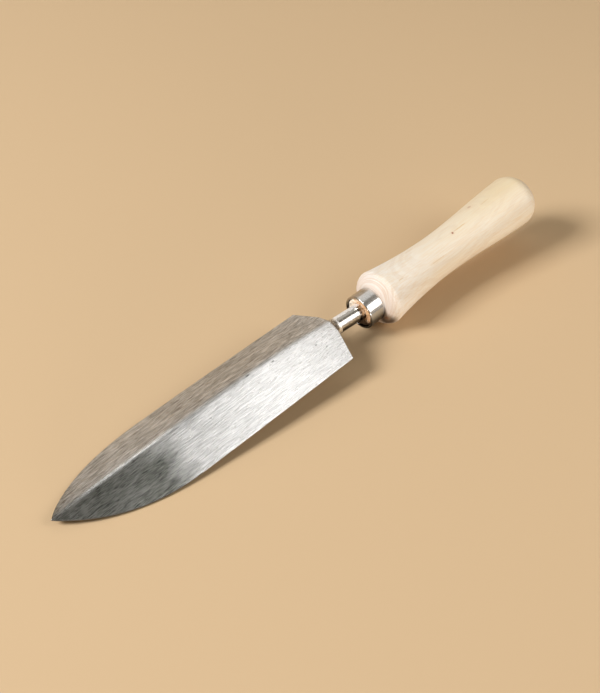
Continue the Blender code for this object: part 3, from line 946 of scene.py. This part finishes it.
def make_tube_steel():
    finish, shader, place = new_finish("tube_steel", metallic=1.0)
    x, y, z = split(place)
    turn = calc("ARCTAN2", y, z) * (MM_PER_METRE * FERRULE_RADIUS)
    marks = brushed(join(turn, x, 0.0), width=0.22, length=14.0)
    # Painted reflections: warmer and darker to the left, a little blue to the far right.
    tone = painted(
        blend(marks["Lines"], TUBE_DARK, TUBE_LIGHT),
        (marks["Clouds"], 0.25, TUBE_CLOUDED),
        (stretch(y, *WARM_REFLECTION_FADE), 0.65, TUBE_WARM_REFLECTION),
        (stretch(y, *BLUE_REFLECTION_FADE), 0.8, TUBE_BLUE_REFLECTION),
        # Painted shade below.
        (stretch(z, *TUBE_SHADE_FADE, soft=True), 0.93, UNDERSIDE_SHADE),
    )
    dress(shader, tone, between(marks["Flecks"], 0.15, 0.24), marks["Lines"], depth=0.00001)
    return finish


def make_ferrule():
    """Four rounded corners swept round the axis, with the last ring joined to the first."""
    outer, inner, edge = FERRULE_RADIUS, FERRULE_RADIUS - FERRULE_WALL, FERRULE_EDGE
    front, rear, steps = edge, FERRULE_LENGTH - edge, FERRULE_EDGE_STEPS
    outline = [
        arc((rear, outer - edge), edge, 0, 90, steps),
        np.linspace((rear, outer), (front, outer), FERRULE_ROWS)[1:-1],
        arc((front, outer - edge), edge, 90, 180, steps),
        arc((front, inner + edge), edge, 180, 270, steps),
        arc((rear, inner + edge), edge, 270, 360, steps),
    ]
    rings = turned(np.concatenate(outline), FERRULE_SIDES)
    numbers = numbered(rings)
    faces = [quads(np.concatenate([numbers, numbers[:1]]), closed=True)]
    return add_piece("tube_ferrule", rings.reshape(-1, 3), faces, [TUBE_STEEL], "ferrule")


TUBE_STEEL = make_tube_steel()
ferrule = make_ferrule()

# %% [markdown]
# ## Pale wood
#
# The handle is turned from a pale, close-grained hardwood, sanded and left nearly bare. Its
# growth rings lie round the tree's heart, which runs lengthwise inside this stick. Cut by the
# turned surface they show as long quiet lines on the sides and as curved steps on the rounded
# shoulder. Lines painted on would never match at the shoulder, but a solid texture does it by
# itself: the colour is a function of the distance from the heart, bent by slow noise. No two years
# are alike, so the distance goes through a noise of its own, and a ring lies wherever that noise
# crosses its middle. Over it go fibres, pores, brown lines in the grain, pin knots and one dark
# patch of painted shade low on the shoulder. Each is a centre, a radius, a length and a depth,
# placed as the nicks are.

# %% Grain of the wood
SWAY_SCALE = (0.014, 0.06, 0.06)
SWAY_REACH = 3.0
SWAY_START = (15.0, 60.0)
FIGURE_SCALE = (0.06, 1.25, 1.25)
FIBRE_SCALE = (0.07, 2.6, 2.6)
PORE_SCALE = (0.45, 5.0, 5.0)
CLOUD_SCALE = (0.022, 0.07, 0.07)
CLOUD_SHIFT = (3.0, 5.0, 7.0)


def make_grain():
    """Rings where a noise of the distance to the heart crosses its middle, and marks drawn out along X."""
    inputs = {"Vector": "Vector", "Heart Y": "Float", "Heart Z": "Float", "Spacing": "Float"}
    outputs = ("Rings", "Bands", "Figure", "Fibres", "Pores", "Clouds")
    tree, given, result = new_group("wood_grain", inputs, outputs)
    vector = given["Vector"]
    x, y, z = split(vector)
    sway = between(noise(scaled(vector, SWAY_SCALE), rough=0.45), -SWAY_REACH, SWAY_REACH)
    sway = sway * stretch(x, *SWAY_START, 0.25, 1.0)
    years = (distance(y - given["Heart Y"], z - given["Heart Z"]) + sway) / given["Spacing"]
    year = noise(join(years, 0.0, 0.0), rough=0.6)
    clouds = scaled(vector, CLOUD_SCALE, shift=CLOUD_SHIFT)
    feed(result["Rings"], stretch(calc("ABSOLUTE", year - 0.5), 0.045, 0.008, soft=True))
    feed(result["Bands"], stretch(year, 0.44, 0.60))
    feed(result["Figure"], patches(scaled(vector, FIGURE_SCALE), 0.46, 0.64, rough=0.6))
    feed(result["Fibres"], patches(scaled(vector, FIBRE_SCALE), 0.3, 0.7, detail=3.0, rough=0.6))
    feed(result["Pores"], patches(scaled(vector, PORE_SCALE), 0.68, 0.76, detail=1.0))
    feed(result["Clouds"], patches(clouds, 0.35, 0.65))
    return tree


WOOD_GRAIN = make_grain()

# %% Turned wood
KNOTS = (
    ((77.8, -2.4, 13.2), 0.78, 0.90, 0.95),
    ((102.1, 5.7, 13.6), 1.20, 1.60, 0.34),
    ((14.0, -3.5, 15.9), 0.50, 0.60, 0.55),
    ((11.3, -11.35, -4.4), 1.30, 1.30, 0.55),
)
GRAIN_LINES = (
    ((86.0, -2.2, 13.4), 0.50, 9.0, 0.75),
    ((30.0, -8.0, 14.0), 0.50, 8.0, 0.60),
    ((47.0, 6.0, 12.4), 0.50, 7.0, 0.55),
    ((108.0, 1.0, 15.4), 0.55, 9.0, 0.55),
    ((57.0, -9.5, 9.5), 0.50, 10.0, 0.60),
)
SHOULDER_SHADE = ((12.4, -11.6, -7.4), 2.9, 2.6)
FRONT_FADE = (12.0, 60.0)
REAR_FADE = (60.0, 130.0)
RIGHT_SHEEN_FADE = (-1.0, -14.0)
RIGHT_SHEEN_START = (15.0, 60.0)
SHOULDER_FADE = (19.5, 16.0)
FRONT_WOOD = (0.885, 0.835, 0.770)
MIDDLE_WOOD = (0.795, 0.700, 0.560)
REAR_WOOD = (0.745, 0.600, 0.370)
RIGHT_SHEEN_WOOD = (0.86, 0.82, 0.73)
CLOUDED_WOOD = (0.79, 0.67, 0.50)
FIGURED_WOOD = (0.76, 0.56, 0.33)
CUT_AND_SHADED_WOOD = (0.71, 0.635, 0.575)
EARLY_WOOD = (0.70, 0.53, 0.45)
LATE_WOOD = (0.60, 0.42, 0.28)
FIBRE_COLOUR = (0.68, 0.52, 0.34)
PORE_COLOUR = (0.58, 0.40, 0.22)
SHOULDER_SHADE_COLOUR = (0.055, 0.030, 0.018)
GRAIN_LINE_COLOUR = (0.66, 0.45, 0.22)
KNOT_COLOUR = (0.30, 0.09, 0.04)
KNOT_HALO = (0.70, 0.49, 0.30)


def wood_tone(grain, x, y, facing):
    """Base colours along the stick, with coats for a painted sheen on its right side, its clouds, painted
    shade on cut faces, its rings and its grain.
    """
    cut_across = stretch(calc("ABSOLUTE", facing), 0.3, 0.85, soft=True)
    uneven = between(grain["Clouds"], 0.3, 0.6)
    shown = larger(cut_across, stretch(x, *SHOULDER_FADE))
    return painted(
        blend(stretch(x, *FRONT_FADE), FRONT_WOOD, MIDDLE_WOOD),
        (stretch(x, *REAR_FADE), 1.0, REAR_WOOD),
        # A painted sheen, paler and pinker, on the right side of the grip.
        (stretch(y, *RIGHT_SHEEN_FADE) * stretch(x, *RIGHT_SHEEN_START), 0.75, RIGHT_SHEEN_WOOD),
        (grain["Clouds"], 0.40, CLOUDED_WOOD),
        (grain["Figure"], 0.38, FIGURED_WOOD),
        # Faces cut across the grain: darker end grain, and also painted shade where the key lamp falls.
        (cut_across, 0.75, CUT_AND_SHADED_WOOD),
        (grain["Bands"] * cut_across, uneven, EARLY_WOOD),
        (grain["Rings"] * between(shown, 0.3, 1.0), uneven, LATE_WOOD),
        (grain["Fibres"], 0.22, FIBRE_COLOUR),
        (grain["Pores"], 0.22, PORE_COLOUR),
    )


def make_turned_wood():
    finish, shader, place = new_finish("turned_wood")
    grain = use_group(WOOD_GRAIN, Vector=place, Heart_Y=-0.57, Heart_Z=4.06, Spacing=1.5)
    x, y, _ = split(place)
    facing = split(source(finish.node_tree, "NewGeometry", "Normal"))[0]
    tone = wood_tone(grain, x, y, facing)
    # A dark patch of painted shade low on the shoulder's right.
    tone = painted(tone, (mark_at(place, *SHOULDER_SHADE)["Halo"], 0.95, SHOULDER_SHADE_COLOUR))
    for *line, depth in GRAIN_LINES:
        tone = painted(tone, (mark_at(place, *line)["Core"], depth, GRAIN_LINE_COLOUR))
    for *knot, depth in KNOTS:
        mark = mark_at(place, *knot)
        tone = painted(tone, (mark["Ripple"], 0.5, KNOT_HALO), (mark["Core"], depth, KNOT_COLOUR))
    relief = grain["Fibres"] - grain["Rings"] * 0.6
    dress(shader, tone, between(grain["Fibres"], 0.58, 0.46), relief, depth=0.00002)
    return finish


TURNED_WOOD = make_turned_wood()

# %% [markdown]
# The front of the tenon, which shows inside the ferrule, is sawn end grain: crushed fibres that
# are pale to the left and orange to the right, with dark spots, and painted shade in a gap along
# the ferrule's right, below the neck and down the bore.

# %% End grain
TORN_SCALE = (0.9, 1.1, 1.1)
SPOT_SCALE = (2.0, 2.6, 2.6)
PALE_FADE = (1.0, 7.0)
BORE_FADE = (0.9, 2.4)
RIM_FADE = (8.5, 9.0)
RIM_SIDE_FADE = (2.0, -3.0)
SHADED_FADE = (-1.5, -4.5)
SHADED_RAGGED = 1.5
END_ROUGHNESS = 0.8
END_ORANGE = (0.66, 0.36, 0.16)
END_PALE = (0.95, 0.84, 0.68)
END_SPOT = (0.30, 0.14, 0.06)
END_DEEP = (0.035, 0.018, 0.010)


def make_end_grain():
    finish, shader, place = new_finish("end_grain")
    x, y, z = split(place)
    torn = noise(scaled(place, TORN_SCALE), detail=4.0, rough=0.65)
    spots = noise(scaled(place, SPOT_SCALE))
    pale = stretch(torn, 0.40, 0.60, -0.5, 0.5) + stretch(y, *PALE_FADE)
    rim = stretch(distance(y, z), *RIM_FADE) * stretch(y, *RIM_SIDE_FADE)
    shaded = stretch(z + stretch(torn, 0.3, 0.7, -SHADED_RAGGED, SHADED_RAGGED), *SHADED_FADE)
    tone = painted(
        blend(stretch(pale, 0.0, 0.8), END_ORANGE, END_PALE),
        (stretch(spots, 0.60, 0.72), 1.0, END_SPOT),
        (larger(larger(rim, stretch(x, *BORE_FADE)), shaded), 0.93, END_DEEP),
    )
    dress(shader, tone, END_ROUGHNESS, torn + spots, depth=0.0003)
    return finish


END_GRAIN = make_end_grain()

# %% [markdown]
# ## The handle
#
# The outline runs from the rounded butt over the swell, in to the waist, out again to the
# shoulder, round the bead to the ferrule, under the ferrule as a tenon, and back into the bore.
# The mouth of the bore closes on the neck, because driving the tang in crushes the fibres round
# it. Sandpaper on a lathe leaves faint hollows and rings, strongest on the shoulder, and hand
# sanding makes the grip a touch out of round. Both are written as small changes of the radius.

# %% Outline of the handle
HANDLE_LENGTH = 0.1377
NECK_FACE_RADIUS = FERRULE_RADIUS + 0.0006
SHOULDER_RADIUS = 0.0172
SHOULDER_LENGTH = 0.0070
BEAD_ROUNDING = 1.2
WAIST_RADIUS = 0.01326
WAIST_FROM_FRONT = 0.0575
WAIST_CURVE = 1.95
SWELL_RADIUS = 0.01664
SWELL_FROM_BUTT = 0.0069
BUTT_LENGTH = 0.0129
TENON_RECESS = 0.0005
TENON_CHAMFER = 0.0009
BORE_RADIUS = TANG_RADIUS + 0.0005
BORE_END = TANG_IN_HANDLE + 0.003
MOUTH_ROOM = 0.0002
FIT = 0.0001
HANDLE_SIDES = 192
BUTT_ROWS = 48
SWELL_ROWS = 110
FLARE_ROWS = 90
BEAD_ROWS = 40
TENON_ROWS = 12
FACE_ROWS = 26
MOUTH_ROWS = 8
BORE_ROWS = 23


def grip_outline():
    """Outside of the handle as (distance from its front face, radius), from the butt to that face."""
    butt_start = HANDLE_LENGTH - BUTT_LENGTH
    swell_end = HANDLE_LENGTH - SWELL_FROM_BUTT
    x = np.linspace(butt_start, WAIST_FROM_FRONT, SWELL_ROWS)
    rise = smooth_step((x - WAIST_FROM_FRONT) / (swell_end - WAIST_FROM_FRONT))
    swell = columns(x, mix(WAIST_RADIUS, SWELL_RADIUS, rise))
    angle = np.linspace(math.pi / 2.0, 0.0, BUTT_ROWS)[1:-1]
    butt = columns(butt_start + BUTT_LENGTH * np.sin(angle), swell[0, 1] * np.cos(angle))
    x = np.linspace(WAIST_FROM_FRONT, SHOULDER_LENGTH, FLARE_ROWS)[1:]
    fall = ((WAIST_FROM_FRONT - x) / (WAIST_FROM_FRONT - SHOULDER_LENGTH)) ** WAIST_CURVE
    flare = columns(x, mix(WAIST_RADIUS, SHOULDER_RADIUS, fall))
    angle = np.linspace(0.0, math.pi / 2.0, BEAD_ROWS)[1:]
    x = mix(SHOULDER_LENGTH, FIT, np.sin(angle) ** BEAD_ROUNDING)
    bead = columns(x, mix(NECK_FACE_RADIUS, SHOULDER_RADIUS, np.abs(np.cos(angle)) ** BEAD_ROUNDING))
    return np.concatenate([butt, swell, flare, bead])


def tenon_outline():
    """Tenon under the ferrule, its front face and the bore, as (x, radius) in the tool's frame."""
    tenon = FERRULE_RADIUS - FERRULE_WALL - FIT
    front = TENON_RECESS
    mouth = TANG_RADIUS + MOUTH_ROOM
    side = np.linspace((FERRULE_LENGTH, tenon), (front + TENON_CHAMFER, tenon), TENON_ROWS)
    face = np.linspace((front, tenon - TENON_CHAMFER), (front, mouth), FACE_ROWS)
    opening = np.linspace((front, mouth), (TANG_BEND_START, BORE_RADIUS), MOUTH_ROWS)[1:]
    bore = np.linspace((TANG_BEND_START, BORE_RADIUS), (BORE_END, BORE_RADIUS), BORE_ROWS)[1:]
    return side, face, np.concatenate([opening, bore])


# %% Marks of the lathe and of sanding
LATHE_RING_HEIGHT = 0.00004
LATHE_RING_PITCH = 0.0013
LATHE_RING_WANDER = 0.004
LATHE_RINGS_X = FERRULE_LENGTH + 0.004
LATHE_RINGS_REACH = 0.006
OUT_OF_ROUND = 0.00008
OVAL_TURN = 0.6
OVAL_TWIST = 18.0
OVAL_START = 0.025
OVAL_FADE_LENGTH = 0.03
TORN_HEIGHT = 0.00022
TORN_WAVES = (1, 2, 3, 5)
TORN_ACROSS, TORN_UP = 910.0, 1130.0


def lathe_marks(x, radius, angle):
    """Small change of radius: faint rings at the shoulder, a soft out-of-round along the grip."""
    near = np.exp(-(((x - LATHE_RINGS_X) / LATHE_RINGS_REACH) ** 2))
    phase = 2.0 * math.pi * x / LATHE_RING_PITCH + 1.2 * np.sin(3.0 * x / LATHE_RING_WANDER)
    oval = OUT_OF_ROUND * (np.sin(2.0 * angle + OVAL_TURN + OVAL_TWIST * x) - 1.0)
    oval = oval * smooth_step((x - OVAL_START) / OVAL_FADE_LENGTH) * np.clip(radius / SWELL_RADIUS, 0.0, 1.0)
    return np.where(radius > FERRULE_RADIUS, LATHE_RING_HEIGHT * near * np.sin(phase) + oval, 0.0)


def torn_fibres(y, z):
    """Ragged height of the sawn face: products of sines across it, each finer and lower than the last."""
    across, up = TORN_ACROSS * y + 1.0, TORN_UP * z + 2.0
    waves = [np.sin(k * across) * np.sin(k * up) / k for k in TORN_WAVES]
    return TORN_HEIGHT * sum(waves)


def make_handle():
    """The outline swept round, with a torn face, and a bore that follows the tang's line."""
    outside = grip_outline() + np.array([FERRULE_LENGTH, 0.0])
    side, face, bore = tenon_outline()
    rings = turned(np.concatenate([outside, side, face, bore]), HANDLE_SIDES, lathe_marks)
    first = len(outside) + len(side)
    last = first + len(face)
    rings[first:last, :, 0] += torn_fibres(rings[first:last, :, 1], rings[first:last, :, 2])
    inward = np.ones((len(rings) - first, 1))
    inward[: len(face), 0] = np.linspace(0.0, 1.0, len(face))
    rings[first:, :, 2] += inward * np.maximum(tang_height(rings[first:, :, 0]), 0.0)
    ends = np.array([[FERRULE_LENGTH + HANDLE_LENGTH, 0.0, 0.0], [BORE_END, 0.0, 0.0]])
    points, faces = capped(rings, ends)
    handle = add_piece("turned_handle", points, faces, [TURNED_WOOD, END_GRAIN], "handle")
    row = np.repeat(np.arange(len(rings) - 1), HANDLE_SIDES)
    butt, bore_end = np.zeros(HANDLE_SIDES, int), np.ones(HANDLE_SIDES, int)
    slots = np.concatenate([(row >= first - 2).astype(int), butt, bore_end])
    handle.data.polygons.foreach_set("material_index", slots)
    return handle


handle = make_handle()

# %% [markdown]
# ## Floor, light and camera
#
# The tool lies on a plain pale floor under five soft lamps. A wide one behind and to the right is
# what the right flank of the blade mirrors. A strong one farther off, in front and to the left,
# lights the wood and throws the soft shadow. A narrow one is mirrored along the ridge, a dim one
# overhead puts a sheen on the neck and the ferrule, and a low one fills the right side of the
# handle, in a narrow fan that spares the far floor. The lamps are given by their radiance, the
# brightness a mirror would show, so their power follows from their size and fan.

# %% Floor
FLOOR_COLOUR = (0.615, 0.433, 0.250, 1.0)
FLOOR_HALF = 4.0
FLOOR_ROUGHNESS = 0.9
FLOOR_SHEEN = 0.2


def make_floor():
    mesh = bpy.data.meshes.new("floor")
    h = FLOOR_HALF
    mesh.from_pydata([(-h, -h, 0.0), (h, -h, 0.0), (h, h, 0.0), (-h, h, 0.0)], [], [(0, 1, 2, 3)])
    floor = new_object("floor", mesh)
    finish = bpy.data.materials.new("pale_floor")
    finish.use_nodes = True
    shader = finish.node_tree.nodes["Principled BSDF"].inputs
    shader["Base Color"].default_value = FLOOR_COLOUR
    shader["Roughness"].default_value = FLOOR_ROUGHNESS
    shader["Specular IOR Level"].default_value = FLOOR_SHEEN
    mesh.materials.append(finish)
    return floor


floor = make_floor()
print("floor", tuple(floor.dimensions))

# %% Lamps
LIT_POINT = Vector((0.04, 0.0, 0.015))
WHITE = (1.0, 1.0, 1.0)
COOL = (0.98, 1.0, 1.04)
WARM = (1.0, 0.90, 0.80)
WIDE_FAN = math.pi
NARROW_FAN = math.radians(70)


def soft_lamp(name, towards, away, size, radiance, colour=WHITE, fan=WIDE_FAN):
    """A lamp of a given radiance along its axis, its width along world X: less power for a narrower fan."""
    lamp = bpy.data.lights.new(name, "AREA")
    lamp.shape = "RECTANGLE"
    lamp.size, lamp.size_y = size
    lamp.spread = fan
    lamp.energy = radiance * math.pi * size[0] * size[1] * (1.0 - fan / 2.0 / math.tan(fan / 2.0))
    lamp.color = colour
    out = Vector(towards).normalized()
    side = (Vector((1.0, 0.0, 0.0)) - out * out.x).normalized()
    turn = Matrix((side, out.cross(side), out)).transposed().to_4x4()
    item = new_object(name, lamp)
    item.matrix_world = Matrix.Translation(LIT_POINT + out * away) @ turn
    return item


lamps = [
    soft_lamp("right_lamp", (0.434, -0.665, 0.599), 1.25, (0.90, 0.74), radiance=2.98),
    soft_lamp("left_lamp", (-0.72, 0.31, 0.62), 2.4, (0.86, 0.86), radiance=29.5, colour=COOL),
    soft_lamp("ridge_lamp", (0.09, 0.66, 0.745), 1.25, (0.18, 0.50), radiance=2.3),
    soft_lamp("soft_lamp", (0.438, 0.422, 0.794), 1.25, (0.76, 0.95), radiance=0.5),
    soft_lamp("side_lamp", (-0.25, -0.95, 0.09), 2.2, (1.69, 0.34), 15.5, colour=WARM, fan=NARROW_FAN),
]
print("lamps at", [round(lamp.data.energy, 1) for lamp in lamps], "watts")

# %% [markdown]
# Polished steel shows what stands round it, so the world is a plain room: warm walls, a dim
# ceiling and a dark front, which the nose of the blade mirrors. Mirror-like surfaces also see a
# paler patch straight overhead, so that the blade stays steel from every side. Matt surfaces see
# the walls dimmed, which keeps the shadow deep. The camera itself sees a plain pale backdrop.

# %% Surroundings
LEFT_WALL = (0.56, 0.43, 0.30)
RIGHT_WALL = (0.45, 0.37, 0.29)
CEILING = (0.27, 0.245, 0.215)
FRONT = (0.026, 0.029, 0.022)
OVERHEAD = (0.38, 0.36, 0.33)
BACKDROP = (0.80, 0.66, 0.49)
WALLS_DIMMED = 0.4


def make_surroundings():
    world = bpy.data.worlds.new("studio")
    bpy.context.scene.world = world
    world.use_nodes = True
    x, y, z = split(source(world.node_tree, "TexCoord", "Generated"))
    ray = source(world.node_tree, "LightPath")
    walls = blend(stretch(y, -0.7, 0.7, soft=True), RIGHT_WALL, LEFT_WALL)
    back = blend(stretch(z, 0.30, 0.75, soft=True), walls, CEILING)
    ahead = x + stretch(y, 0.3, 0.9, 0.0, 0.09)
    overhead = stretch(z, 0.78, 0.94, soft=True) * stretch(x, 0.25, 0.0)
    sky = painted(
        blend(stretch(ahead, 0.05, 0.45, soft=True), FRONT, back),
        (overhead, ray["Is Glossy Ray"], OVERHEAD),
        (ray["Is Diffuse Ray"], WALLS_DIMMED, FRONT),
        (ray["Is Camera Ray"], 1.0, BACKDROP),
    )
    feed(world.node_tree.nodes["Background"].inputs["Color"], sky)
    return world


studio = make_surroundings()
print("surroundings:", studio.name)

# %% [markdown]
# The camera looks down on the tool from beyond the tip and from its right, as the photograph does.
# Its place and its three axes were worked out from where the tip, the shoulders, the ferrule and
# the butt lie in the picture. The focal length is given in the picture's own pixels.

# %% Camera
IMAGE_HEIGHT = 693
FOCAL_PIXELS = 1350.0
SENSOR = 36.0
NEAREST_SEEN = 0.01
CAMERA_PLACE = (-0.4188, -0.38114, 0.5268)
CAMERA_AXES = ((0.71521, 0.44517, -0.53879), (-0.69716, 0.509, -0.50486), (0.0495, 0.73671, 0.6744))


def make_camera():
    lens = bpy.data.cameras.new("camera")
    lens.sensor_width = SENSOR
    lens.lens = SENSOR * FOCAL_PIXELS / IMAGE_HEIGHT
    lens.clip_start = NEAREST_SEEN
    camera = new_object("camera", lens)
    camera.matrix_world = Matrix.Translation(CAMERA_PLACE) @ Matrix(CAMERA_AXES).to_4x4()
    bpy.context.scene.camera = camera
    bpy.context.scene.view_settings.view_transform = "Standard"
    return camera


camera = make_camera()
print("lens", round(camera.data.lens, 2), "mm")
